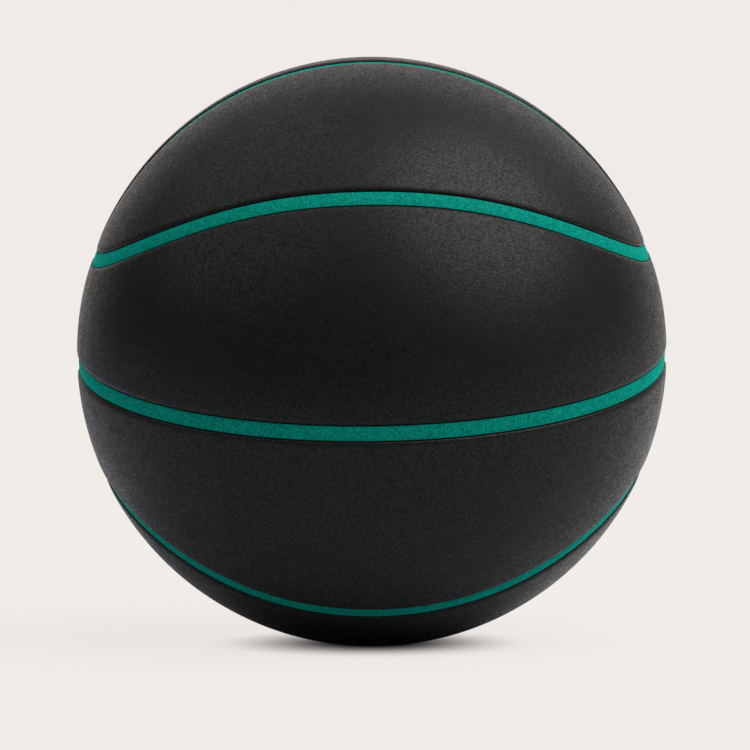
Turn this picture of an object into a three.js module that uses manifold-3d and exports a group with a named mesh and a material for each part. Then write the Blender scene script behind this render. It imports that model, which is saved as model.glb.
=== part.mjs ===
// A full-size foam basketball: a soft foam core, eight skin panels with rolled edges, and the
// coloured lines that lie at the bottom of the channels between the panels.
// Millimetres, +Z up. The origin is the middle of the patch that the ball rests on, and the side
// that faces the viewer is -Y.
import * as THREE from 'three';
import Module from 'manifold-3d';
import { mergeVertices } from 'three/addons/utils/BufferGeometryUtils.js';

// Driving dimensions, in millimetres
const BALL_DIAMETER = 240; // over the crowns of the panels
const CHANNEL_DEPTH = 0.9; // from a panel's crown down to the line
const LINE_WIDTH = 5.9;
const LINE_THICKNESS = 2;
const EDGE_ROLL = 2.5; // how far in from its wall a panel's edge rolls up to the crown
const CORNER_RADIUS = 2; // of a panel's corner in plan, at the top of the roll
const SEAT_GAP = 0.3; // between neighbouring pieces
const CONTACT_DEPTH = 1; // how far the foam gives way where the ball rests

// Driving angles, in degrees
const LOOP_CROSSING = 20.75; // from the belt line up to a loop, where it crosses the crown line
const LOOP_RISE = 43.9; // from the belt line up to a loop, at the front
const LOOP_FULLNESS = 2.6; // how far a loop bulges past a plain wave, half way between those two
const FORWARD_TILT = 14.9; // the ball lies with its belt line tipped down at the front
const SIDE_TILT = 0.7; // and a little up at the right

// How finely the curves are cut into flats
const FRONT_STEPS = 20; // along the front of a loop, and along the crown edge across from it
const END_STEPS = 5; // along each end of a loop, where it turns in to the crown line
const BAND_STEPS = 6; // across a band, from the belt to a loop
const ROLL_STEPS = 3; // over a rolled edge
const RING_STEPS = 72; // round the crown line
const CORE_DETAIL = 7;
const CORNER_SEARCH_STEPS = 40; // halvings, far below the size of anything here

// Radii, widths and angles that follow from them
const crownRadius = BALL_DIAMETER / 2;
const lineRadius = crownRadius - CHANNEL_DEPTH;
const seatRadius = lineRadius - LINE_THICKNESS;
const widestStep = THREE.MathUtils.degToRad(LOOP_RISE) / BAND_STEPS;
const flatSag = 2 * seatRadius * (1 - Math.cos(widestStep / 2)); // of a flat, below its corners
const coreRadius = seatRadius - flatSag - SEAT_GAP;
const halfChannel = LINE_WIDTH / 2 + SEAT_GAP; // from a line's middle to a panel's wall
const cornerReach = EDGE_ROLL + CORNER_RADIUS; // a panel's corner radius in plan, at its wall
const filletReach = halfChannel + cornerReach; // from a line's middle to that corner's centre
const loopCrossing = THREE.MathUtils.degToRad(LOOP_CROSSING);
const loopSwing = THREE.MathUtils.degToRad(LOOP_RISE - LOOP_CROSSING) / 2; // either side of its middle
const loopBulge = THREE.MathUtils.degToRad(LOOP_FULLNESS) / 2;

const skinBlack = new THREE.MeshStandardMaterial({ color: 0x1d1e20, roughness: 0.8, metalness: 0 });
const lineTeal = new THREE.MeshStandardMaterial({ color: 0x0a7468, roughness: 0.55, metalness: 0 });
const rawFoam = new THREE.MeshStandardMaterial({ color: 0x3b3c3e, roughness: 0.95, metalness: 0 });

// In the ball's own frame the belt line lies in the plane z = 0, the crown line in the plane y = 0,
// and the upper loop goes round +Z. A place on the ball is a unit direction. Travel over the ball is
// measured in millimetres at the crown.
const REARWARD = new THREE.Vector3(0, 1, 0);
const UPWARD = new THREE.Vector3(0, 0, 1);

function travel(place, heading, distance) {
  const angle = distance / crownRadius;
  return place.clone().multiplyScalar(Math.cos(angle)).addScaledVector(heading, Math.sin(angle));
}

// The part of a direction that is level with the surface at a place.
function level(direction, place) {
  return direction.clone().addScaledVector(place, -direction.dot(place)).normalize();
}

function forwardOfCrownLine(place) {
  return crownRadius * Math.asin(-place.y);
}

function spread(from, to, steps) {
  return Array.from({ length: steps + 1 }, (_, i) => from + ((to - from) * i) / steps);
}

// Each line is a row of stations: a place, and the heading to the left of the line's run there.

// The crown line, from the right over the top to the left. Its left is the front.
function crownStation(turn) {
  const place = new THREE.Vector3(Math.cos(turn), 0, Math.sin(turn));
  return { place, left: REARWARD.clone().negate() };
}

// The front half of the belt, from the right to the left. Its left is below it.
function beltStation(turn) {
  const place = new THREE.Vector3(Math.cos(turn), -Math.sin(turn), 0);
  return { place, left: UPWARD.clone().negate() };
}

// The front half of the upper loop, from the right to the left. Its left is the belt's side.
// Its height above the belt is a wave, lowest at the crown line and highest at the front, and a second
// wave of twice the count fills out its shoulders.
function loopStation(turn) {
  const height = loopCrossing + loopSwing * (1 - Math.cos(2 * turn)) + loopBulge * (1 - Math.cos(4 * turn));
  const climb = 2 * loopSwing * Math.sin(2 * turn) + 4 * loopBulge * Math.sin(4 * turn);
  const { place: below, left: down } = beltStation(turn);
  const along = down.clone().cross(below);
  const place = below.clone().multiplyScalar(Math.cos(height)).addScaledVector(UPWARD, Math.sin(height));
  const run = along.multiplyScalar(Math.cos(height)).addScaledVector(level(UPWARD, place), climb).normalize();
  return { place, left: place.clone().cross(run) };
}

// The end of a loop's half, cut parallel to the crown line.
function loopEnd(turn) {
  const { place } = loopStation(turn);
  const run = level(REARWARD, place).multiplyScalar(-Math.sign(Math.cos(turn)));
  return { place, left: place.clone().cross(run) };
}

// Where along a loop a panel's round corner begins: a disc of the corner's radius is slid along the
// loop's wall, on its left or right, until it meets the crown line's wall.
function cornerTurn(leftward) {
  let near = 0;
  let far = Math.PI / 2;
  for (let i = 0; i < CORNER_SEARCH_STEPS; i++) {
    const turn = (near + far) / 2;
    const { place, left } = loopStation(turn);
    const centre = travel(place, left, leftward * filletReach);
    if (forwardOfCrownLine(centre) < filletReach) near = turn;
    else far = turn;
  }
  return near;
}

const LEFT = 1;
const RIGHT = -1;
const loopSteps = FRONT_STEPS + 2 * END_STEPS;
const capCorner = cornerTurn(RIGHT);
const bandCorner = cornerTurn(LEFT);
const endTurn = Math.asin(Math.sin(halfChannel / crownRadius) / Math.cos(loopCrossing));
const capRun = spread(capCorner, Math.PI - capCorner, loopSteps).map(loopStation);
const bandRun = [loopStation(bandCorner), ...capRun, loopStation(Math.PI - bandCorner)];
const loopRun = [loopEnd(endTurn), ...bandRun, loopEnd(Math.PI - endTurn)];
const beltEnd = Math.asin(halfChannel / crownRadius);
const beltRun = spread(beltEnd, Math.PI - beltEnd, loopSteps).map(beltStation);
const crownRun = spread(0, 2 * Math.PI, RING_STEPS).slice(0, RING_STEPS).map(crownStation);

function bodyFrom(positions, quads) {
  const geometry = new THREE.BufferGeometry();
  const coordinates = positions.flatMap((position) => position.toArray());
  geometry.setAttribute('position', new THREE.Float32BufferAttribute(coordinates, 3));
  geometry.setIndex(quads.flatMap(([a, b, c, d]) => [a, b, c, a, c, d]));
  geometry.computeVertexNormals();
  return geometry;
}

// A line: a flat strip swept along its stations, closed on itself or with a square face at each end.
function lineStrip(stations, closed) {
  const half = LINE_WIDTH / 2;
  const section = [[-half, seatRadius], [half, seatRadius], [half, lineRadius], [-half, lineRadius]];
  const corners = section.length;
  const positions = stations.flatMap(({ place, left }) =>
    section.map(([across, radius]) => travel(place, left, across).multiplyScalar(radius)));
  const quads = [];
  const spans = closed ? stations.length : stations.length - 1;
  for (let span = 0; span < spans; span++) {
    const here = span * corners;
    const next = ((span + 1) % stations.length) * corners;
    for (let k = 0; k < corners; k++) {
      const l = (k + 1) % corners;
      quads.push([here + k, here + l, next + l, next + k]);
    }
  }
  if (!closed) {
    const last = spans * corners;
    quads.push([3, 2, 1, 0], [last, last + 1, last + 2, last + 3]);
  }
  return bodyFrom(positions, quads);
}

// One side of a panel's outline: places along its wall, each with the heading in to the panel.
function wall(stations, side) {
  return stations.map(({ place, left }) => {
    const edge = travel(place, left, side * halfChannel);
    return { place: edge, inward: level(left.clone().multiplyScalar(side), edge) };
  });
}

// The middle of the round corner between the end of one side and the start of the next.
function cornerBetween(end, start) {
  const centre = travel(end.place, end.inward, cornerReach);
  const inward = level(end.inward.clone().add(start.inward), centre);
  const place = travel(centre, inward, -cornerReach);
  return { place, inward: level(inward, place) };
}

// The crown line's turn abreast of a panel corner's centre.
function crownTurnAt(loopTurn, leftward) {
  const { place, left } = loopStation(loopTurn);
  const centre = travel(place, left, leftward * filletReach);
  return Math.atan2(centre.z, centre.x);
}

// A cap lies inside a loop, in front of the crown line. The loop's front faces the crown edge, and the
// loop's two ends make the short sides.
function capPanel() {
  const start = crownTurnAt(capCorner, RIGHT);
  const crownEdge = wall(spread(start, Math.PI - start, FRONT_STEPS - 2).map(crownStation), LEFT);
  const loopEdge = wall(capRun, RIGHT).reverse();
  const leftCorner = cornerBetween(crownEdge.at(-1), loopEdge[0]);
  const rightCorner = cornerBetween(loopEdge.at(-1), crownEdge[0]);
  return panel([
    [rightCorner, ...crownEdge, leftCorner],
    [leftCorner, ...loopEdge.slice(0, END_STEPS + 1)],
    loopEdge.slice(END_STEPS, END_STEPS + FRONT_STEPS + 1),
    [...loopEdge.slice(END_STEPS + FRONT_STEPS), rightCorner],
  ]);
}

// A band lies between a loop and the belt, in front of the crown line, which ends it at both sides.
function bandPanel() {
  const low = filletReach / crownRadius;
  const high = crownTurnAt(bandCorner, LEFT);
  const loopEdge = wall(bandRun, LEFT);
  const beltEdge = wall(spread(low, Math.PI - low, loopSteps + 2).map(beltStation), RIGHT).reverse();
  const leftEdge = wall(spread(Math.PI - high, Math.PI - low, BAND_STEPS - 2).map(crownStation), LEFT);
  const rightEdge = wall(spread(low, high, BAND_STEPS - 2).map(crownStation), LEFT);
  const edges = [loopEdge, leftEdge, beltEdge, rightEdge];
  const corners = edges.map((edge, k) => cornerBetween(edge.at(-1), edges[(k + 1) % edges.length][0]));
  return panel(edges.map((edge, k) => [corners.at(k - 1), ...edge, corners[k]]));
}

// A panel: four sides that run anticlockwise as seen from outside and share their end points. Its wall
// and rolled edge go round the outline, and a woven field closes the crown and the underside.
function panel(sides) {
  const outline = sides.flatMap((side) => side.slice(0, -1));
  const rows = [{ inset: 0, radius: seatRadius }];
  for (const roll of spread(0, Math.PI / 2, ROLL_STEPS)) {
    const inset = EDGE_ROLL * (1 - Math.cos(roll));
    rows.push({ inset, radius: lineRadius + CHANNEL_DEPTH * Math.sin(roll) });
  }
  const positions = rows.flatMap(({ inset, radius }) =>
    outline.map(({ place, inward }) => travel(place, inward, inset).multiplyScalar(radius)));
  const quads = [];
  const round = outline.length;
  for (let low = 0; low < (rows.length - 1) * round; low += round) {
    for (let i = 0; i < round; i++) {
      const next = (i + 1) % round;
      quads.push([low + i, low + next, low + round + next, low + round + i]);
    }
  }
  const long = sides[0].length - 1;
  const short = sides[1].length - 1;
  const crown = weave(positions, (rows.length - 1) * round, long, short, crownRadius);
  const underside = weave(positions, 0, long, short, seatRadius);
  quads.push(...crown, ...underside.map(([a, b, c, d]) => [a, d, c, b]));
  return bodyFrom(positions, quads);
}

// Fills a ring of four sides, the first a long one, with rows and columns blended from those sides.
// New places are added to the positions, and the quads between them are returned. Each half starts its
// quads at the other end, so that the flats of the two halves mirror each other.
function weave(positions, first, long, short, radius) {
  const round = 2 * (long + short);
  const opposite = 2 * long + short;
  const ring = (k) => first + (k % round);
  const rim = (k) => positions[ring(k)];
  const blended = (i, j) => {
    const u = i / long;
    const v = j / short;
    const place = new THREE.Vector3();
    place.addScaledVector(rim(i), 1 - v).addScaledVector(rim(opposite - i), v);
    place.addScaledVector(rim(round - j), 1 - u).addScaledVector(rim(long + j), u);
    place.addScaledVector(rim(0), (u - 1) * (1 - v)).addScaledVector(rim(long), u * (v - 1));
    place.addScaledVector(rim(opposite), (u - 1) * v).addScaledVector(rim(long + short), -u * v);
    return positions.push(place.setLength(radius)) - 1;
  };
  const knot = (i, j) => {
    if (j === 0) return ring(i);
    if (i === long) return ring(long + j);
    if (j === short) return ring(opposite - i);
    if (i === 0) return ring(round - j);
    return blended(i, j);
  };
  const knots = spread(0, short, short).map((j) => spread(0, long, long).map((i) => knot(i, j)));
  const quads = [];
  for (let j = 0; j < short; j++) {
    for (let i = 0; i < long; i++) {
      const [a, b] = [knots[j][i], knots[j][i + 1]];
      const [c, d] = [knots[j + 1][i + 1], knots[j + 1][i]];
      quads.push(i < long / 2 ? [b, c, d, a] : [a, b, c, d]);
    }
  }
  return quads;
}

// The ball lies tilted on the floor, sunk by its contact depth.
const basketball = new THREE.Group();
const ball = new THREE.Group();
ball.rotation.set(THREE.MathUtils.degToRad(FORWARD_TILT), -THREE.MathUtils.degToRad(SIDE_TILT), 0, 'YXZ');
ball.position.z = crownRadius - CONTACT_DEPTH;
basketball.add(ball);

function addPiece(name, geometry, material, halfTurn) {
  const mesh = new THREE.Mesh(geometry, material);
  mesh.name = name;
  mesh.rotation.setFromVector3(halfTurn);
  ball.add(mesh);
}

// Half a turn about one axis brings the upper front piece to each of its other three places.
const AS_MADE = new THREE.Vector3(0, 0, 0);
const TO_REAR = new THREE.Vector3(0, 0, Math.PI);
const QUARTERS = [
  { cap: 'top', band: 'upper', face: 'front', halfTurn: AS_MADE },
  { cap: 'top', band: 'upper', face: 'rear', halfTurn: TO_REAR },
  { cap: 'bottom', band: 'lower', face: 'front', halfTurn: new THREE.Vector3(0, Math.PI, 0) },
  { cap: 'bottom', band: 'lower', face: 'rear', halfTurn: new THREE.Vector3(Math.PI, 0, 0) },
];

addPiece('foam_core', new THREE.IcosahedronGeometry(coreRadius, CORE_DETAIL), rawFoam, AS_MADE);
addPiece('crown_line', lineStrip(crownRun, true), lineTeal, AS_MADE);
addPiece('belt_line_front', lineStrip(beltRun, false), lineTeal, AS_MADE);
addPiece('belt_line_rear', lineStrip(beltRun, false), lineTeal, TO_REAR);
for (const { cap, band, face, halfTurn } of QUARTERS) {
  addPiece(`${band}_loop_line_${face}`, lineStrip(loopRun, false), lineTeal, halfTurn);
  addPiece(`${cap}_${face}_panel`, capPanel(), skinBlack, halfTurn);
  addPiece(`${band}_${face}_panel`, bandPanel(), skinBlack, halfTurn);
}

// The foot: what would reach below the floor is pressed flat on it.
const wasm = await Module();
wasm.setup();

function solidFrom(geometry) {
  const bare = geometry.clone();
  bare.deleteAttribute('normal');
  bare.deleteAttribute('uv');
  const merged = mergeVertices(bare);
  const vertProperties = new Float32Array(merged.attributes.position.array);
  const triVerts = new Uint32Array(merged.index.array);
  return new wasm.Manifold(new wasm.Mesh({ numProp: 3, vertProperties, triVerts }));
}

function geometryFrom(solid) {
  const mesh = solid.getMesh();
  const geometry = new THREE.BufferGeometry();
  geometry.setAttribute('position', new THREE.Float32BufferAttribute(mesh.vertProperties, 3));
  geometry.setIndex(Array.from(mesh.triVerts));
  geometry.computeVertexNormals();
  return geometry;
}

const floor = new THREE.BoxGeometry(BALL_DIAMETER, BALL_DIAMETER, BALL_DIAMETER);
floor.translate(0, 0, -BALL_DIAMETER / 2);
basketball.updateMatrixWorld(true);
for (const mesh of ball.children) {
  const reach = new THREE.Box3().setFromObject(mesh, true);
  if (reach.min.z < 0) {
    const below = floor.clone().applyMatrix4(mesh.matrixWorld.clone().invert());
    mesh.geometry = geometryFrom(solidFrom(mesh.geometry).subtract(solidFrom(below)));
  }
}

export default basketball;
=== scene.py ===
# %% [markdown]
# # A foam basketball
# This lesson dresses a foam basketball: a soft black ball with teal lines in shallow channels. The
# construction is loaded first as a fixed frame, in metres, with +Z up and the viewer on the -Y side.
# Every piece made here takes the place of one solid of that frame, so nothing has to be fitted later.

# %% Load the frame
import math

import bpy
import numpy as np
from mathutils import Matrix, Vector, noise


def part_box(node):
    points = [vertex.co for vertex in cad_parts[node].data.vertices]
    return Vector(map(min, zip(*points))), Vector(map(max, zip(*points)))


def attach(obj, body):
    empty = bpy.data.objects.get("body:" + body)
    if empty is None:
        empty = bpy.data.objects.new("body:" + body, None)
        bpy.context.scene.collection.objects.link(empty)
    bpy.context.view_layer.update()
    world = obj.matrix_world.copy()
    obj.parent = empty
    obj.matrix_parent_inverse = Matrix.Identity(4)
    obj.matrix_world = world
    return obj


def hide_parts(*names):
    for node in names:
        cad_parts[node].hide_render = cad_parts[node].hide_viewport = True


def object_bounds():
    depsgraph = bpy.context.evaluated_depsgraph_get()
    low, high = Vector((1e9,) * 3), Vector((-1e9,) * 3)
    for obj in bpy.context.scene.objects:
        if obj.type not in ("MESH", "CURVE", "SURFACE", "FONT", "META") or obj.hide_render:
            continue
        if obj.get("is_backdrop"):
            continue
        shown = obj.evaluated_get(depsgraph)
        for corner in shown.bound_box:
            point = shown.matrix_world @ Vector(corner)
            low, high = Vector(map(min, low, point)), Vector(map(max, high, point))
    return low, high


MM = 0.001
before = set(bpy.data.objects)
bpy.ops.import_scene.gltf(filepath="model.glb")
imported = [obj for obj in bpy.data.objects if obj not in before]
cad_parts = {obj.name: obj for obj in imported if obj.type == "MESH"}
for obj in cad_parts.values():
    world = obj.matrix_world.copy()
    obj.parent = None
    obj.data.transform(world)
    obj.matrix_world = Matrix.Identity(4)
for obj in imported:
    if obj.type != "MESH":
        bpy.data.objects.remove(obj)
cad_low, cad_high = (np.array(corner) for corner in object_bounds())
print("nodes:", len(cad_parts), "box in mm:", np.round((cad_high - cad_low) / MM, 2))

# %% [markdown]
# ## Where the ball is and how big it is
# A ball is a centre and a radius. The core is the only solid that is the same all round, so the middle of
# its box is the ball's centre. The box of the whole ball from front to back gives the radius over the
# skin. Both could be typed in, but reading them from the frame keeps the two models together.

# %% The ball's centre and radius
core_low, core_high = (np.array(corner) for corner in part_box("foam_core"))
CENTRE = (core_low + core_high) / 2
RADIUS = (cad_high[1] - cad_low[1]) / 2
print("centre in mm:", np.round(CENTRE / MM, 2), "radius in mm:", round(RADIUS / MM, 2))

# %% [markdown]
# ## The sizes of a channel
# Between two panels runs a channel. Its floor is the coloured line, and the panels on both sides roll
# down to it. These few sizes shape every edge on the ball, so they are named once, here. Between a line
# and a panel stays a narrow crevice, which draws a dark border along every line. The foot of the panel
# closes it from below, but for a slit as thin as a hair.

# %% Channel sizes
LINE_WIDTH = 5.9 * MM
CHANNEL_DEPTH = 0.9 * MM
LINE_THICKNESS = 2.0 * MM
EDGE_ROLL = 2.5 * MM
CORNER_RADIUS = 2.0 * MM
CREVICE = 0.42 * MM
CREVICE_DEPTH = 0.6 * MM
SLIT = 0.03 * MM
LINE_RADIUS = RADIUS - CHANNEL_DEPTH
SEAT_RADIUS = LINE_RADIUS - LINE_THICKNESS
HALF_CHANNEL = LINE_WIDTH / 2 + CREVICE
CORNER_REACH = EDGE_ROLL + CORNER_RADIUS
FILLET_REACH = HALF_CHANNEL + CORNER_REACH
print("line radius in mm:", round(LINE_RADIUS / MM, 2), "corner reach in mm:", CORNER_REACH / MM)

# %% [markdown]
# ## How the ball lies
# The ball was put down at random: its belt line tips down towards the viewer and a little up to the
# right. All shapes are made in the ball's own frame, where the belt is level and the crown line runs over
# the top from side to side. One rotation then lays the finished pieces down.

# %% The rotation that lays the ball down
FORWARD_TILT = math.radians(14.9)
SIDE_TILT = math.radians(0.7)


def turned_about(axis, angle):
    """A rotation matrix about the axis with that number, 0 to 2."""
    matrix = np.eye(3)
    a, b = (axis + 1) % 3, (axis + 2) % 3
    matrix[a, a] = matrix[b, b] = math.cos(angle)
    matrix[b, a] = math.sin(angle)
    matrix[a, b] = -math.sin(angle)
    return matrix


LIE = turned_about(1, -SIDE_TILT) @ turned_about(0, FORWARD_TILT)
print("the ball's own up, as it lies:", np.round(LIE @ [0, 0, 1], 3))

# %% [markdown]
# ## Walking over a ball
# An edge on a ball is drawn like a route on a globe. A place is a direction from the centre, a heading is
# level with the ground there, and a walk follows a great circle. With these two helpers an offset on the
# ball is as easy as an offset on paper, and it stays true near the tight turns of the loops.

# %% Places and headings


def travel(place, heading, distance):
    """The place reached from another by walking a distance along a heading."""
    angle = np.asarray(distance) / RADIUS
    return place * np.cos(angle) + heading * np.sin(angle)


def level(direction, place):
    """The part of a direction that is level with the ground at a place, as a unit heading."""
    flat = direction - place * (direction * place).sum(-1, keepdims=True)
    return flat / np.linalg.norm(flat, axis=-1, keepdims=True)


eighth_way = travel(np.array([1.0, 0, 0]), np.array([0, 0, 1.0]), RADIUS * math.pi / 4)
print("an eighth of the way round:", np.round(eighth_way, 3))

# %% [markdown]
# ## The lines of a basketball
# Two great circles cross at the sides of the ball: the crown line and the belt. Two loops, above and below
# the belt, cut the four quarters into caps and bands. A loop is drawn as a wave: on its way round the ball
# it rises and falls twice, and a smaller wave of half the length makes its bends fuller. Each function
# returns places, and the heading to the left of the run at each place.

# %% The three lines as formulas
LOOP_CROSSING = math.radians(20.75)
LOOP_RISE = math.radians(43.9)
LOOP_FULLNESS = math.radians(2.6)
LEFT, RIGHT = 1, -1


def crown_line(turn):
    """From the right side over the top to the left side. Its left is the front."""
    turn = np.asarray(turn)
    place = np.stack([np.cos(turn), 0 * turn, np.sin(turn)], -1)
    return place, np.broadcast_to([0.0, -1.0, 0.0], place.shape)


def belt_line(turn):
    """The front half, from the right to the left. Its left is below it."""
    turn = np.asarray(turn)
    place = np.stack([np.cos(turn), -np.sin(turn), 0 * turn], -1)
    return place, np.broadcast_to([0.0, 0.0, -1.0], place.shape)


def loop_line(turn):
    """The front half of the upper loop, from the right to the left. Its left is the belt's side."""
    turn = np.asarray(turn)
    swing = (LOOP_RISE - LOOP_CROSSING) / 2
    height = LOOP_CROSSING + swing * (1 - np.cos(2 * turn)) + LOOP_FULLNESS / 2 * (1 - np.cos(4 * turn))
    climb = 2 * swing * np.sin(2 * turn) + 2 * LOOP_FULLNESS * np.sin(4 * turn)
    flat, up = np.cos(height), np.sin(height)
    place = np.stack([flat * np.cos(turn), -flat * np.sin(turn), up], -1)
    along = np.stack([-flat * np.sin(turn), -flat * np.cos(turn), 0 * turn], -1)
    upward = np.stack([-up * np.cos(turn), up * np.sin(turn), flat], -1)
    return place, level(np.cross(place, along + climb[..., None] * upward), place)


loop_front = loop_line(math.pi / 2)[0]
print("front of the loop above the belt, degrees:", round(math.degrees(math.asin(loop_front[2])), 2))

# %% [markdown]
# ## Walls and round corners
# A panel starts at its wall, half a channel from the middle of the line. Where two walls meet, the corner
# is round: a disc is slid along the loop until it touches the crown line's wall too, and the corner is the
# arc of that disc. Finding the place by halving an interval is short and never fails here.

# %% Walls and corners
CORNER_HALF_STEPS = 4
HALVINGS = 40


def wall(stations, side):
    """Places along a panel's wall, on the left or right of a line, with the heading in to the panel."""
    place, left = stations
    edge = travel(place, left, side * HALF_CHANNEL)
    return edge, level(side * left, edge)


def corner_centre(turn, side):
    """The middle of a disc that touches the loop's wall at a turn."""
    place, left = loop_line(turn)
    return travel(place, left, side * FILLET_REACH)


def corner_turn(side):
    """The turn of the loop at which that disc touches the crown line's wall too."""
    near, far = 0.0, math.pi / 2
    for _ in range(HALVINGS):
        turn = (near + far) / 2
        ahead = RADIUS * math.asin(-corner_centre(turn, side)[1])
        near, far = (turn, far) if ahead < FILLET_REACH else (near, turn)
    return near


def round_corner(before, after):
    """The arc between the end of one wall and the start of the next, without its two ends."""
    centre = travel(before[0][-1], before[1][-1], CORNER_REACH)
    start, end = level(before[1][-1], centre), level(after[1][0], centre)
    angle = math.acos(start @ end)
    share = np.linspace(0, 1, 2 * CORNER_HALF_STEPS + 1)[1:-1, None]
    inward = (np.sin((1 - share) * angle) * start + np.sin(share * angle) * end) / math.sin(angle)
    place = travel(centre, -inward, CORNER_REACH)
    return place, level(inward, place)


CAP_CORNER, BAND_CORNER = corner_turn(RIGHT), corner_turn(LEFT)
print("corners start at, degrees:", np.round(np.degrees([CAP_CORNER, BAND_CORNER]), 2))

# %% [markdown]
# ## The outlines of the two kinds of panel
# All eight panels are copies of two shapes: a cap inside a loop and a band between a loop and the belt.
# Each outline goes round anticlockwise, as seen from outside, in four sides that share their end points.
# A cap has only two real corners, so its two short sides are the ends of its loop.

# %% Outlines
FRONT_STEPS = 84
LOOP_END_STEPS = 18
BAND_SIDE_STEPS = 20
LOOP_STEPS = FRONT_STEPS + 2 * LOOP_END_STEPS


def joined(*runs):
    """Runs of places and headings, one after the other."""
    return tuple(np.concatenate(column) for column in zip(*runs))


def cut(run, start, end):
    """The stretch of a run from one index up to another."""
    return run[0][start:end], run[1][start:end]


def both_ways(start, steps):
    """Turns from a start to the same distance from the other end of a half circle."""
    return np.linspace(start, math.pi - start, steps + 1)


cap_disc = corner_centre(CAP_CORNER, RIGHT)
cap_start = math.atan2(cap_disc[2], cap_disc[0])
cap_crown = wall(crown_line(both_ways(cap_start, FRONT_STEPS - 2 * CORNER_HALF_STEPS)), LEFT)
cap_loop = wall(loop_line(both_ways(CAP_CORNER, LOOP_STEPS)[::-1]), RIGHT)
cap_left = round_corner(cap_crown, cap_loop)
cap_right = round_corner(cap_loop, cap_crown)

band_disc = corner_centre(BAND_CORNER, LEFT)
band_high = math.atan2(band_disc[2], band_disc[0])
band_low = FILLET_REACH / RADIUS
band_loop = wall(loop_line(both_ways(BAND_CORNER, LOOP_STEPS)), LEFT)
band_belt = wall(belt_line(both_ways(band_low, LOOP_STEPS)[::-1]), RIGHT)
band_left = wall(crown_line(math.pi - np.linspace(band_high, band_low, BAND_SIDE_STEPS + 1)), LEFT)
band_right = wall(crown_line(np.linspace(band_low, band_high, BAND_SIDE_STEPS + 1)), LEFT)
band_edges = [band_loop, band_left, band_belt, band_right]
band_corners = [round_corner(edge, band_edges[(k + 1) % 4]) for k, edge in enumerate(band_edges)]
print("points along a cap's loop:", len(cap_loop[0]), "along a band's end:", len(band_left[0]))

# %% [markdown]
# The sides are now cut at the middles of the corners, so that the weave of a panel has its own corners
# exactly on the arcs.

# %% Sides


def after_middle(corner):
    """The second half of a corner's arc, with its middle point."""
    return cut(corner, CORNER_HALF_STEPS - 1, None)


def to_middle(corner):
    """The first half of a corner's arc, with its middle point."""
    return cut(corner, None, CORNER_HALF_STEPS)


cap_sides = [
    joined(after_middle(cap_right), cap_crown, to_middle(cap_left)),
    joined(after_middle(cap_left), cut(cap_loop, None, LOOP_END_STEPS + 1)),
    cut(cap_loop, LOOP_END_STEPS, LOOP_END_STEPS + FRONT_STEPS + 1),
    joined(cut(cap_loop, LOOP_END_STEPS + FRONT_STEPS, None), to_middle(cap_right)),
]
band_sides = [
    joined(after_middle(band_corners[k - 1]), edge, to_middle(band_corners[k]))
    for k, edge in enumerate(band_edges)
]
for name, sides in (("cap", cap_sides), ("band", band_sides)):
    print(name, "steps along its sides:", [len(side[0]) - 1 for side in sides])

# %% [markdown]
# ## Rolling the edge and weaving the field
# The foot of a panel reaches under the crevice, almost to the line. Above it, the rim is a quarter of an
# ellipse: it leaves the wall upright and flattens out on the crown, as soft skin does over an edge. Inside
# the rim, rows and columns are blended from the four sides and pushed out to the ball. The same weave
# closes the underside, so the panel is a closed body. Subdividing a few coarse faces would be shorter, but
# it would pull the rolled edge out of its true width.

# %% Panel meshes
ROLL_STEPS = 12


def woven(ring, long, short):
    """Directions in rows and columns, blended from the four sides of a ring."""
    first, second = ring[: long + 1], ring[long : long + short + 1]
    third = ring[long + short : 2 * long + short + 1][::-1]
    fourth = np.concatenate([ring[2 * long + short :], ring[:1]])[::-1]
    u, v = np.linspace(0, 1, long + 1)[None, :, None], np.linspace(0, 1, short + 1)[:, None, None]
    field = (1 - v) * first[None] + v * third[None] + (1 - u) * fourth[:, None] + u * second[:, None]
    field = field - (1 - u) * (1 - v) * first[0] - u * (1 - v) * first[-1]
    field = field - (1 - u) * v * third[0] - u * v * third[-1]
    return field / np.linalg.norm(field, axis=-1, keepdims=True)


def field_numbers(ring_start, inner_start, long, short):
    """The vertex numbers of a woven field: its rim is a ring that exists, its inside is new."""
    around = 2 * (long + short)
    numbers = np.empty((short + 1, long + 1), int)
    numbers[1:-1, 1:-1] = inner_start + np.arange((short - 1) * (long - 1)).reshape(short - 1, long - 1)
    numbers[0] = ring_start + np.arange(long + 1)
    numbers[:, -1] = ring_start + long + np.arange(short + 1)
    numbers[-1] = ring_start + 2 * long + short - np.arange(long + 1)
    numbers[1:, 0] = ring_start + around - np.arange(1, short + 1)
    return numbers


def quads(numbers):
    """Faces between the rows and columns of a table of vertex numbers."""
    a, b, c, d = numbers[:-1, :-1], numbers[:-1, 1:], numbers[1:, 1:], numbers[1:, :-1]
    return np.stack([a, b, c, d], -1).reshape(-1, 4)


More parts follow.
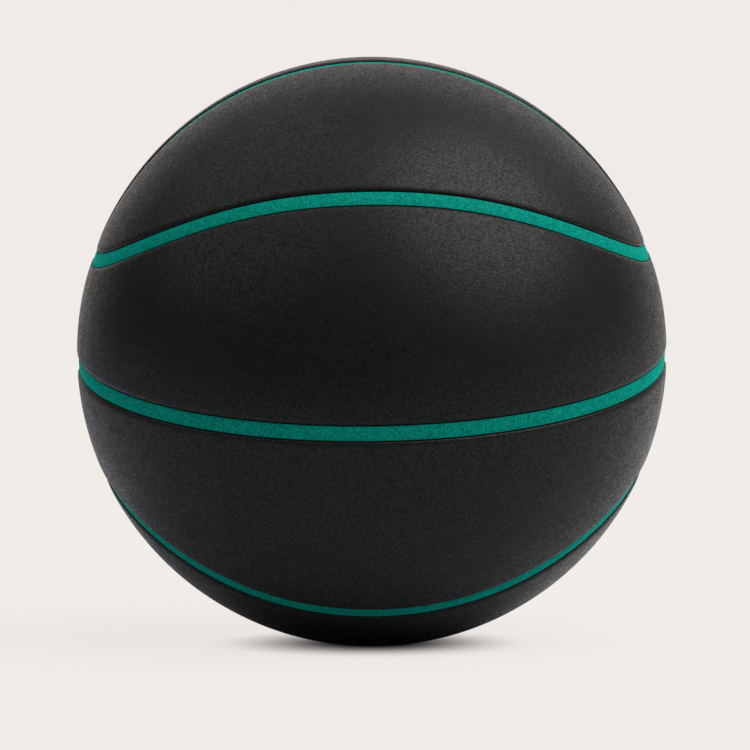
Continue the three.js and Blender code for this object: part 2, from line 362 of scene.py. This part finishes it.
def panel_shape(sides):
    """Vertices in the ball's frame, and faces."""
    place, inward = joined(*[cut(side, None, -1) for side in sides])
    long, short = len(sides[0][0]) - 1, len(sides[1][0]) - 1
    roll = np.linspace(0, math.pi / 2, ROLL_STEPS + 1)
    foot = SLIT - CREVICE
    insets = np.concatenate([[foot, foot, 0], EDGE_ROLL * (1 - np.cos(roll))])
    crevice = [SEAT_RADIUS, LINE_RADIUS - CREVICE_DEPTH, LINE_RADIUS - CREVICE_DEPTH]
    radii = np.concatenate([crevice, LINE_RADIUS + CHANNEL_DEPTH * np.sin(roll)])
    rings = [travel(place, inward, inset) for inset in insets]
    crown = woven(rings[-1], long, short)[1:-1, 1:-1].reshape(-1, 3)
    under = woven(rings[0], long, short)[1:-1, 1:-1].reshape(-1, 3)
    around = len(place)
    rim = [ring * radius for ring, radius in zip(rings, radii)]
    vertices = np.concatenate(rim + [crown * RADIUS, under * SEAT_RADIUS])
    table = np.arange(len(rings) * around).reshape(len(rings), around)
    crown_start = len(rings) * around
    top = field_numbers(crown_start - around, crown_start, long, short)
    bottom = field_numbers(0, crown_start + len(crown), long, short)
    faces = np.concatenate([quads(np.hstack([table, table[:, :1]])), quads(top), quads(bottom)[:, ::-1]])
    return vertices, faces


CAP, BAND = panel_shape(cap_sides), panel_shape(band_sides)
print("faces of a cap:", len(CAP[1]), "of a band:", len(BAND[1]))

# %% [markdown]
# ## From arrays to objects
# A piece is laid down as the ball lies, its foot is pressed flat where it would sink into the floor, and
# its faces are shaded smooth, except across the real corners of the crevices. Foam skin is never a perfect
# ball, so the panels also get a long, very low unevenness. Last, the piece is named after the solid that it
# replaces and hides it, and rides on the one body that there is.

# %% Making a piece
SHARP_FROM = math.radians(50)
FOOT_SOFTNESS = 0.5 * MM
UNEVEN_HEIGHT = 0.05 * MM
UNEVEN_LENGTH = 22 * MM


def pressed_on_floor(height):
    """Heights above the floor, with what would be below it flattened and a soft bend round the flat."""
    bend = (np.clip(height + FOOT_SOFTNESS, 0, None)) ** 2 / (4 * FOOT_SOFTNESS)
    return np.where(height > FOOT_SOFTNESS, height, bend)


def uneven(vertices):
    """Vertices moved in or out a little by a smooth noise that is the same in every run."""
    waves = np.array([noise.noise(Vector(v / UNEVEN_LENGTH)) for v in vertices])
    return vertices * (1 + UNEVEN_HEIGHT * waves / RADIUS)[:, None]


def make_piece(name, vertices, faces, half_turn, material, slot):
    """One object of the ball, which takes the place of the solid of the same name."""
    laid = vertices @ (LIE @ half_turn).T + CENTRE
    laid[:, 2] = pressed_on_floor(laid[:, 2])
    mesh = bpy.data.meshes.new(name + "_skin")
    mesh.from_pydata(laid.tolist(), [], [list(face) for face in faces])
    mesh.shade_smooth()
    mesh.set_sharp_from_angle(angle=SHARP_FROM)
    mesh.materials.append(material)
    piece = bpy.data.objects.new(name + "_skin", mesh)
    bpy.context.scene.collection.objects.link(piece)
    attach(piece, "root")
    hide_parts(name)
    return piece


def mark(piece, name, values):
    """A number for each vertex, which a material can read."""
    attribute = piece.data.attributes.new(name, "FLOAT", "POINT")
    attribute.data.foreach_set("value", np.asarray(values, np.float32))


print("a foot sunk by 1 mm ends at, mm:", pressed_on_floor(np.array([-1.0 * MM]))[0] / MM)

# %% [markdown]
# ## Node helpers
# Materials are small networks. The first helper makes a node, sets its sockets and joins its inputs in one
# call, so that each material below reads as a list of what it is made of. The second starts a material.

# %% A short way to make nodes


def node(tree, kind, inputs=(), **settings):
    """A new node with its settings, and with inputs that are values or other nodes' outputs."""
    made = tree.nodes.new(kind)
    for key, value in settings.items():
        setattr(made, key, value)
    for socket, value in dict(inputs).items():
        if isinstance(value, bpy.types.NodeSocket):
            tree.links.new(value, made.inputs[socket])
        else:
            made.inputs[socket].default_value = value
    return made


def new_material(name):
    """A material, its network, its principled shader and the object's own coordinates."""
    material = bpy.data.materials.new(name)
    material.use_nodes = True
    tree = material.node_tree
    shader = tree.nodes["Principled BSDF"]
    place = node(tree, "ShaderNodeTexCoord").outputs["Object"]
    return material, tree, shader, place


print("helpers ready:", node.__name__, "and", new_material.__name__)

# %% [markdown]
# Four steps come back in these networks: arithmetic, a number carried over to another range, a colour
# between two others, and a colour that a number picks from a ramp. Each gets a short name here.

# %% Numbers and colours in a network


def worked_out(tree, operation, *values):
    """The result of one step of arithmetic."""
    return node(tree, "ShaderNodeMath", dict(enumerate(values)), operation=operation).outputs[0]


def carried_over(tree, value, reach, result=(0, 1), **settings):
    """A number that goes from one result to another while a value passes through a reach."""
    ends = {"From Min": reach[0], "From Max": reach[1], "To Min": result[0], "To Max": result[1]}
    return node(tree, "ShaderNodeMapRange", {"Value": value, **ends}, **settings).outputs["Result"]


def blended(tree, share, first, second):
    """A colour between two others."""
    return node(tree, "ShaderNodeMix", {"Factor": share, 6: first, 7: second}, data_type="RGBA").outputs[2]


def ramp(tree, value, places, colours):
    """The colour that a number picks from a ramp with two ends."""
    made = node(tree, "ShaderNodeValToRGB", {"Fac": value})
    for element, position, colour in zip(made.color_ramp.elements, places, colours):
        element.position = position
        element.color = (*colour, 1)
    return made.outputs["Color"]


print("steps ready:", ", ".join(step.__name__ for step in (worked_out, carried_over, blended, ramp)))

# %% [markdown]
# ## Sandy grain
# Foam that is moulded against a sandblasted tool copies the tool's grain: grains of a little over half a
# millimetre, all over the ball, also under the paint of the lines. A Voronoi pattern cuts space into such
# grains and gives each one a tone of its own. Smooth noise alone looks like leather, so it only gives the
# low bumps. Both come from the ball's own coordinates, so nothing is unwrapped.

# %% Grain
GRAIN_SIZE = 0.58 * MM
GRAIN_HEIGHT = 0.1 * MM
GRAIN_DETAIL = 1.5


def sandy_grain(tree, place):
    """The tone of each grain, a number from 0 to 1, and the normal that the bumps give."""
    pattern = {"Vector": place, "Scale": 1 / GRAIN_SIZE}
    grains = node(tree, "ShaderNodeTexVoronoi", pattern)
    tone = node(tree, "ShaderNodeRGBToBW", {"Color": grains.outputs["Color"]}).outputs["Val"]
    relief = node(tree, "ShaderNodeTexNoise", {**pattern, "Detail": GRAIN_DETAIL})
    bumps = node(tree, "ShaderNodeBump", {"Height": relief.outputs["Fac"], "Distance": GRAIN_HEIGHT})
    return tone, bumps.outputs["Normal"]


print("grain size in mm:", GRAIN_SIZE / MM)

# %% [markdown]
# ## Black foam skin
# The skin is almost black and only half matte: its lamps show in it as broad, soft lights, and at the
# rim it mirrors a little of the pale backdrop. A dark grain is duller too, so the grain shows in the lights
# as well as in the shade. A slow cloud changes the polish from place to place, as on any moulding, and fine
# fuzz gives the rim a faint sheen. Mirror strength and sheen are the same all over, so they sit on the
# shader itself.

# %% Skin material
CLOUD_SIZE = 9 * MM
CLOUD_DETAIL = 3.0
SKIN_DARK = (0.0031, 0.0034, 0.0035)
SKIN_PALE = (0.0181, 0.0193, 0.0197)
SKIN_STOPS = (0.22, 0.88)
GRAIN_SHARE = 2.0
POLISH_REACH = (0.85, 2.15)
DULL_TO_POLISHED = (0.545, 0.27)
SKIN_MIRROR = 0.156
SKIN_SHEEN = 0.1
SKIN_SHEEN_ROUGHNESS = 0.2


def foam_skin():
    """Black, grained and half matte."""
    material, tree, shader, place = new_material("black_foam_skin")
    grain, normal = sandy_grain(tree, place)
    clouds = {"Vector": place, "Scale": 1 / CLOUD_SIZE, "Detail": CLOUD_DETAIL}
    cloud = node(tree, "ShaderNodeTexNoise", clouds).outputs["Fac"]
    polish = worked_out(tree, "MULTIPLY_ADD", grain, GRAIN_SHARE, cloud)
    roughness = carried_over(tree, polish, POLISH_REACH, DULL_TO_POLISHED)
    colour = ramp(tree, grain, SKIN_STOPS, (SKIN_DARK, SKIN_PALE))
    tree.links.new(colour, shader.inputs["Base Color"])
    tree.links.new(roughness, shader.inputs["Roughness"])
    tree.links.new(normal, shader.inputs["Normal"])
    shader.inputs["Specular IOR Level"].default_value = SKIN_MIRROR
    shader.inputs["Sheen Weight"].default_value = SKIN_SHEEN
    shader.inputs["Sheen Roughness"].default_value = SKIN_SHEEN_ROUGHNESS
    return material


SKIN = foam_skin()
print("made", SKIN.name, "with", len(SKIN.node_tree.nodes), "nodes")

# %% [markdown]
# ## Teal line
# The lines are paint in the bottom of the channels. The paint is thin over the same grain, so it is
# speckled. Its edges, where the channel turns up, and its sides down in the crevice get painted shade: a
# dark edge that stands in for the shade of the channel's walls. The strip carries a number that is 0 in its
# middle and 1 at its edges and sides, which places that painted shade better than any texture could. The
# paint mirrors almost nothing, but towards the rim it turns brighter in its own colour: a tinted sheen.

# %% Line material
PAINT_DARK = (0.002, 0.157, 0.125)
PAINT_PALE = (0.005, 0.318, 0.253)
PAINT_STOPS = (0.15, 0.85)
# Painted shade: the colour of the line's edges and of its sides in the crevice.
PAINTED_EDGE_SHADE = (0.002, 0.012, 0.010, 1)
EDGE_SHADE_REACH = (0.94, 1.04)
RAGGED = 0.06
PAINT_MIRROR = 0.002
PAINT_ROUGHNESS = 0.45
PAINT_SHEEN = 0.6
PAINT_SHEEN_TINT = (0.0, 0.9, 0.75, 1)
PAINT_SHEEN_ROUGHNESS = 0.33


def line_paint():
    """Teal, speckled, with painted shade along its slightly ragged edge."""
    material, tree, shader, place = new_material("teal_line")
    grain, normal = sandy_grain(tree, place)
    colour = ramp(tree, grain, PAINT_STOPS, (PAINT_DARK, PAINT_PALE))
    across = node(tree, "ShaderNodeAttribute", attribute_name="across").outputs["Fac"]
    ragged = worked_out(tree, "MULTIPLY_ADD", grain, RAGGED, across)
    # Painted shade along the edges and on the sides in the crevice.
    painted = blended(tree, carried_over(tree, ragged, EDGE_SHADE_REACH), colour, PAINTED_EDGE_SHADE)
    tree.links.new(painted, shader.inputs["Base Color"])
    tree.links.new(normal, shader.inputs["Normal"])
    shader.inputs["Roughness"].default_value = PAINT_ROUGHNESS
    shader.inputs["Specular IOR Level"].default_value = PAINT_MIRROR
    shader.inputs["Sheen Weight"].default_value = PAINT_SHEEN
    shader.inputs["Sheen Tint"].default_value = PAINT_SHEEN_TINT
    shader.inputs["Sheen Roughness"].default_value = PAINT_SHEEN_ROUGHNESS
    return material


LINE = line_paint()
print("made", LINE.name, "with", len(LINE.node_tree.nodes), "nodes")

# %% [markdown]
# ## Raw foam
# The core never shows on a whole ball. It still gets the open cells of cut foam, because the part may be
# taken apart on a screen: rounded cells from a Voronoi pattern, dark in their middles.

# %% Core material
CELL_SIZE = 1.4 * MM
CELL_DEPTH = 0.3 * MM
CELL_RELIEF = 0.8
CELL_STOPS = (0.0, 0.6)
FOAM_DARK = (0.016, 0.0165, 0.018)
FOAM_PALE = (0.05, 0.051, 0.054)
FOAM_ROUGHNESS = 0.95


def raw_foam():
    """Dark grey open cells with paler walls."""
    material, tree, shader, place = new_material("raw_foam")
    cells = node(tree, "ShaderNodeTexVoronoi", {"Vector": place, "Scale": 1 / CELL_SIZE})
    to_wall = cells.outputs["Distance"]
    colour = ramp(tree, to_wall, CELL_STOPS, (FOAM_DARK, FOAM_PALE))
    walls = {"Height": to_wall, "Strength": CELL_RELIEF, "Distance": CELL_DEPTH}
    bumps = node(tree, "ShaderNodeBump", walls)
    tree.links.new(colour, shader.inputs["Base Color"])
    tree.links.new(bumps.outputs["Normal"], shader.inputs["Normal"])
    shader.inputs["Roughness"].default_value = FOAM_ROUGHNESS
    return material


FOAM = raw_foam()
print("made", FOAM.name, "with", len(FOAM.node_tree.nodes), "nodes")

# %% [markdown]
# ## The eight panels
# Half a turn about one axis brings the upper front panel to each of its other three places, because the
# pattern is the same on both sides of every line. Each place gets its own unevenness, so no two panels
# are copies. A panel is foam-backed skin.

# %% Panels
HALF_TURNS = {
    ("upper", "front"): np.eye(3),
    ("upper", "rear"): np.diag([-1.0, -1.0, 1.0]),
    ("lower", "front"): np.diag([-1.0, 1.0, -1.0]),
    ("lower", "rear"): np.diag([1.0, -1.0, -1.0]),
}
CAP_NAMES = {"upper": "top", "lower": "bottom"}


def make_panel(name, shape, half_turn):
    """A cap or a band in one of its four places."""
    vertices, faces = shape
    turned = uneven(vertices @ half_turn.T) @ half_turn
    piece = make_piece(name, turned, faces, half_turn, SKIN, "skin_black")
    return piece


for (height, face), half_turn in HALF_TURNS.items():
    cap = make_panel(f"{CAP_NAMES[height]}_{face}_panel", CAP, half_turn)
    band = make_panel(f"{height}_{face}_panel", BAND, half_turn)
    print("made", cap.name, "and", band.name)

# %% [markdown]
# ## The lines in the channels
# A line fills its channel from wall to wall, so it is lofted between the walls of the two panels beside it,
# less the crevices. Near the crown line the walls swing apart round the panels' corners, and the strip
# widens with them, so the crossings are filled as paint would fill them. Surface tension leaves the top of
# the paint slightly crowned.

# %% Strip meshes
ACROSS_STEPS = 10
CROWNED = 0.2 * MM


def strip_shape(left, right, closed):
    """A strip between two rows of places, with a crowned top and a flat underside."""
    share = np.linspace(0, 1, ACROSS_STEPS + 1)
    top = left[:, None] * (1 - share)[None, :, None] + right[:, None] * share[None, :, None]
    top = top / np.linalg.norm(top, axis=-1, keepdims=True)
    across = np.abs(2 * share - 1)
    top = top * (LINE_RADIUS + CROWNED * (1 - across**2))[None, :, None]
    section = np.concatenate([top, (right * SEAT_RADIUS)[:, None], (left * SEAT_RADIUS)[:, None]], 1)
    rows, corners = section.shape[:2]
    table = np.arange(rows * corners).reshape(rows, corners)
    table = np.hstack([table, table[:, :1]])
    if closed:
        table = np.vstack([table, table[:1]])
    faces = [list(face) for face in quads(table)]
    if not closed:
        faces += [list(range(corners))[::-1], list(range((rows - 1) * corners, rows * corners))]
    # Painted shade: the sides in the crevice count as edge, so their paint is dark.
    marks = np.tile(np.concatenate([across, [1.0, 1.0]]), rows)
    return section.reshape(-1, 3), faces, marks


def beside(run):
    """The line's own edge along a panel's wall: a crevice outside it."""
    place, inward = run
    return travel(place, -inward, CREVICE)


def backwards(run):
    """A run from its end to its start."""
    return run[0][::-1], run[1][::-1]


UPSIDE_DOWN = np.array([1, 1, -1])
loop_left = beside(joined(band_corners[3], band_loop, band_corners[0]))
loop_right = beside(backwards(joined(cap_left, cap_loop, cap_right)))
belt_right = beside(backwards(joined(band_corners[1], band_belt, band_corners[2])))
belt_left = belt_right * UPSIDE_DOWN
LOOP_STRIP = strip_shape(loop_left, loop_right, closed=False)
BELT_STRIP = strip_shape(belt_left, belt_right, closed=False)
print("faces of a loop and of the belt:", len(LOOP_STRIP[1]), len(BELT_STRIP[1]))

# %% [markdown]
# The crown line is one ring. Where the belt and the loops run into it, the paint goes on without a border,
# so the numbers that place the painted edge shade are set to 0 there.

# %% Crown strip
RING_STEPS = 480
ring_turns = np.linspace(0, 2 * math.pi, RING_STEPS + 1)[:-1]
ring_place, ring_left = crown_line(ring_turns)
ring_edges = [travel(ring_place, ring_left, side * LINE_WIDTH / 2) for side in (LEFT, RIGHT)]
crown_vertices, crown_faces, crown_marks = strip_shape(*ring_edges, closed=True)
half_circle = np.array([0, LOOP_CROSSING, math.pi - LOOP_CROSSING])
crossings = np.concatenate([half_circle, half_circle + math.pi, [2 * math.pi]])
to_crossing = RADIUS * np.abs(ring_turns[:, None] - crossings).min(1)
bordered = np.repeat(to_crossing > FILLET_REACH, len(crown_marks) // RING_STEPS)
CROWN_STRIP = crown_vertices, crown_faces, crown_marks * bordered
print("share of the crown line with a border:", round(bordered.mean(), 3))

# %% [markdown]
# Seven strips are made from these three: the ring, the two halves of the belt and four halves of loops. The
# half turns that placed the panels place them too, so every line meets its own panels.

# %% Lines


def make_line(name, shape, half_turn):
    """A strip in its place, with the numbers that its paint reads."""
    vertices, faces, across = shape
    piece = make_piece(name, vertices, faces, half_turn, LINE, "line_teal")
    mark(piece, "across", across)
    return piece


lines = [make_line("crown_line", CROWN_STRIP, np.eye(3))]
for face in ("front", "rear"):
    lines.append(make_line(f"belt_line_{face}", BELT_STRIP, HALF_TURNS["upper", face]))
for (height, face), half_turn in HALF_TURNS.items():
    lines.append(make_line(f"{height}_loop_line_{face}", LOOP_STRIP, half_turn))
print("made", ", ".join(line.name for line in lines))

# %% [markdown]
# ## The core
# The core is a ball of raw foam under the skin. A cube that is subdivided and pushed out to a sphere has
# evenly sized faces everywhere, which a globe of meridians hasn't.

# %% Core
CORE_CUTS = 24
SAME_PLACE_DIGITS = 9


def core_shape(radius):
    """A cube of even squares, pushed out to a ball."""
    ticks = np.tan(np.linspace(-math.pi / 4, math.pi / 4, CORE_CUTS + 1))
    a, b = np.meshgrid(ticks, ticks)
    one = np.ones_like(a)
    cube_sides = [(one, a, b), (a, one, -b), (a, b, one), (-one, a, -b), (a, -one, b), (a, -b, -one)]
    points = np.concatenate([np.stack(side, -1).reshape(-1, 3) for side in cube_sides])
    points = points / np.linalg.norm(points, axis=1, keepdims=True)
    number = np.arange((CORE_CUTS + 1) ** 2).reshape(CORE_CUTS + 1, -1)
    faces = np.concatenate([quads(number + k * number.size) for k in range(len(cube_sides))])
    rounded = np.round(points, SAME_PLACE_DIGITS)
    _, first, back = np.unique(rounded, axis=0, return_index=True, return_inverse=True)
    return points[first] * radius, back.reshape(-1)[faces]


core_radius = (core_high[0] - core_low[0]) / 2
core = make_piece("foam_core", *core_shape(core_radius), np.eye(3), FOAM, "raw_foam")
print("core radius in mm:", round(core_radius / MM, 2), "faces:", len(core.data.polygons))

# %% [markdown]
# ## Floor
# The floor is one wide pale sheet, which ends a little in front of the picture's lower edge. Close to the
# ball's foot it shows the light that really falls on it, so the contact is dark. Further out the camera
# sees more and more of the sheet's own even colour, so the shadow is faint there. The ball meets another
# sheet, which has painted shade under its foot. In mirrors and glass that sheet has painted lamp light: it
# is paler on the right, where the strong lamp stands, than on the left. The light that bounces off it is
# dimmer and a little cool. One colour for all would be simpler, but it lights the foot and the left side of
# a black ball too much.

# %% Floor
BACKGROUND = (0.871, 0.831, 0.799, 1)
FLOOR_COLOUR = (0.79, 0.754, 0.725, 1)
FLOOR_BOUNCE = (0.48, 0.57, 0.6, 1)
# Painted lamp light in mirrors: darker on the left, paler on the right, towards the strong lamp.
MIRRORED_PAINTED_SHADE_LEFT = (0.31, 0.315, 0.365, 1)
MIRRORED_PAINTED_LIGHT_RIGHT = (0.69, 0.687, 0.735, 1)
LAMP_REACH = (-1.2, 0.4)
# Painted shade: to the ball, the sheet is nearly black under its foot.
PAINTED_FOOT_SHADE = (0.03, 0.03, 0.03, 1)
FOOT_SHADE_REACH = (0.015, 0.085)
EVEN_SHARE = 0.93
EVEN_REACH = (0.012, 0.07)
FLOOR_WIDE = 30.0
FLOOR_FRONT = -0.38


def grows(tree, value, reach):
    """Grows softly from 0 to 1 while a value passes through a reach."""
    return carried_over(tree, value, reach, interpolation_type="SMOOTHSTEP")


def seen_by(tree):
    """Two yes-or-no numbers: the camera looks, and a mirror or glass looks."""
    path = node(tree, "ShaderNodeLightPath").outputs
    mirrored = worked_out(tree, "MAXIMUM", path["Is Glossy Ray"], path["Is Transmission Ray"])
    return path["Is Camera Ray"], mirrored


def pale_floor():
    """Even to the camera; to the ball, painted shade at its foot and painted lamp light, paler on the
    right, in mirrors.
    """
    material, tree, shader, place = new_material("pale_floor")
    tree.nodes.remove(shader)
    camera_looks, mirrored = seen_by(tree)
    from_foot = node(tree, "ShaderNodeVectorMath", {0: place}, operation="LENGTH").outputs["Value"]
    sideways = node(tree, "ShaderNodeSeparateXYZ", {0: place}).outputs["X"]
    # Painted lamp light: mirrors see the sheet paler on the right, towards the strong lamp.
    painted_lamp_light_in_mirrors = blended(tree, grows(tree, sideways, LAMP_REACH), MIRRORED_PAINTED_SHADE_LEFT, MIRRORED_PAINTED_LIGHT_RIGHT)
    open_floor = blended(tree, mirrored, FLOOR_BOUNCE, painted_lamp_light_in_mirrors)
    # Painted shade: all but the camera see the sheet nearly black under the ball's foot.
    to_ball = blended(tree, grows(tree, from_foot, FOOT_SHADE_REACH), PAINTED_FOOT_SHADE, open_floor)
    colour = blended(tree, camera_looks, to_ball, FLOOR_COLOUR)
    lit = node(tree, "ShaderNodeBsdfDiffuse", {"Color": colour}).outputs["BSDF"]
    even = node(tree, "ShaderNodeEmission", {"Color": BACKGROUND}).outputs["Emission"]
    even_here = worked_out(tree, "MULTIPLY", grows(tree, from_foot, EVEN_REACH), EVEN_SHARE)
    to_camera = worked_out(tree, "MULTIPLY", camera_looks, even_here)
    both = node(tree, "ShaderNodeMixShader", {0: to_camera, 1: lit, 2: even})
    tree.links.new(both.outputs["Shader"], tree.nodes["Material Output"].inputs["Surface"])
    return material


def floor_sheet(wide, front):
    """A flat sheet that reaches far to the sides and to the back."""
    mesh = bpy.data.meshes.new("floor")
    corners = [(-wide, front, 0), (wide, front, 0), (wide, wide, 0), (-wide, wide, 0)]
    mesh.from_pydata(corners, [], [(0, 1, 2, 3)])
    mesh.materials.append(pale_floor())
    return bpy.data.objects.new("floor", mesh)


floor = floor_sheet(FLOOR_WIDE, FLOOR_FRONT)
bpy.context.scene.collection.objects.link(floor)
floor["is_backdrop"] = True
print("floor made, it ends in front of the ball at, metres:", FLOOR_FRONT)

# %% [markdown]
# ## The room
# The camera sees the same pale colour all round, so no horizon shows. To all other light, mirrored or
# not, the room is a studio: a pale backdrop stands behind the ball, and the viewer's side is dim. That is
# why the front of a black ball stays black while its rim is pale. Mirrors and glass find a trace of the
# pale colour on the dim side too.

# %% World
DIM_ROOM = (0.004, 0.004, 0.004, 1)
BACKDROP_WAY = Vector((0.03, 0.96, 0.25)).normalized()
BACKDROP_REACH = (0.44, 1.06)
TRACE_IN_MIRRORS = 0.02

world = bpy.data.worlds.new("studio")
bpy.context.scene.world = world
world.use_nodes = True
room = world.node_tree
towards = node(room, "ShaderNodeTexCoord").outputs["Generated"]
facing = node(room, "ShaderNodeVectorMath", {0: towards, 1: BACKDROP_WAY}, operation="DOT_PRODUCT")
behind = grows(room, facing.outputs["Value"], BACKDROP_REACH)
camera_looks, mirrored = seen_by(room)
trace = worked_out(room, "MULTIPLY", mirrored, TRACE_IN_MIRRORS)
pale_all_round = worked_out(room, "MAXIMUM", camera_looks, trace)
pale_share = worked_out(room, "MAXIMUM", pale_all_round, behind)
room_colour = blended(room, pale_share, DIM_ROOM, BACKGROUND)
room.links.new(room_colour, room.nodes["Background"].inputs["Color"])
print("room made, the middle of the backdrop is towards", np.round(BACKDROP_WAY, 2))

# %% [markdown]
# ## Lamps
# Three broad, soft lamps light the ball: a strong and slightly warm one high on the viewer's right, a
# weaker one high on the left, and a faint one high up behind the ball on the right. A sun with a wide disc
# stands for a soft box here. It gives the same light everywhere, so the floor stays even out to the horizon
# and only the ball's own shadow shows on it.

# %% Lamps
WARM, PLAIN = (1.0, 1.0, 0.94), (1.0, 1.0, 1.0)
KEY = {"turn": 61, "height": 50, "spread": 59, "strength": 3.35, "colour": WARM}
FILL = {"turn": -68, "height": 53, "spread": 72, "strength": 1.04, "colour": PLAIN}
REAR = {"turn": 145, "height": 64, "spread": 80, "strength": 0.28, "colour": PLAIN}


def soft_lamp(name, turn, height, spread, strength, colour):
    """A wide sun, turned from the viewer's side to the right and raised, in degrees."""
    data = bpy.data.lights.new(name, "SUN")
    data.energy = strength
    data.color = colour
    data.angle = math.radians(spread)
    lamp = bpy.data.objects.new(name, data)
    lamp.rotation_euler = (math.radians(90 - height), 0, math.radians(turn))
    bpy.context.scene.collection.objects.link(lamp)
    return lamp


for name, settings in (("key", KEY), ("fill", FILL), ("rear", REAR)):
    lamp = soft_lamp(name, **settings)
    print(lamp.name, "lamp shines from", np.round(lamp.rotation_euler.to_matrix() @ Vector((0, 0, 1)), 2))

# %% [markdown]
# ## Camera
# The photograph was taken from far away, level with the middle of the ball: the lines on it hardly
# converge, and its outline is flattened at the very bottom. The lens follows from the distance and from the
# ball's radius in the picture, and the aim follows from where the ball's middle is in the picture.

# %% Camera
PICTURE = 750
BALL_PIXELS = 294.84
BALL_AT = (371.80, 351.74)
DISTANCE_IN_RADII = 11.0
SENSOR = 36.0
focal_pixels = BALL_PIXELS * math.sqrt(DISTANCE_IN_RADII**2 - 1)
distance = DISTANCE_IN_RADII * RADIUS
pixel = distance / focal_pixels
aim_right = (PICTURE / 2 - BALL_AT[0]) * pixel
aim_up = (BALL_AT[1] - PICTURE / 2) * pixel
aim = Vector(CENTRE) + Vector((aim_right, 0, aim_up))
camera_data = bpy.data.cameras.new("camera")
camera_data.sensor_width = SENSOR
camera_data.lens = focal_pixels / PICTURE * SENSOR
camera = bpy.data.objects.new("camera", camera_data)
camera.location = Vector(CENTRE) - Vector((0, distance, 0))
camera.rotation_euler = (aim - camera.location).to_track_quat("-Z", "Y").to_euler()
bpy.context.scene.collection.objects.link(camera)
bpy.context.scene.camera = camera
print("lens in mm:", round(camera_data.lens, 1), "distance in m:", round(distance, 3))

# %% [markdown]
# ## Finish
# The picture is shown plainly, with no film look.

# %% Finish
bpy.context.scene.view_settings.view_transform = "Standard"
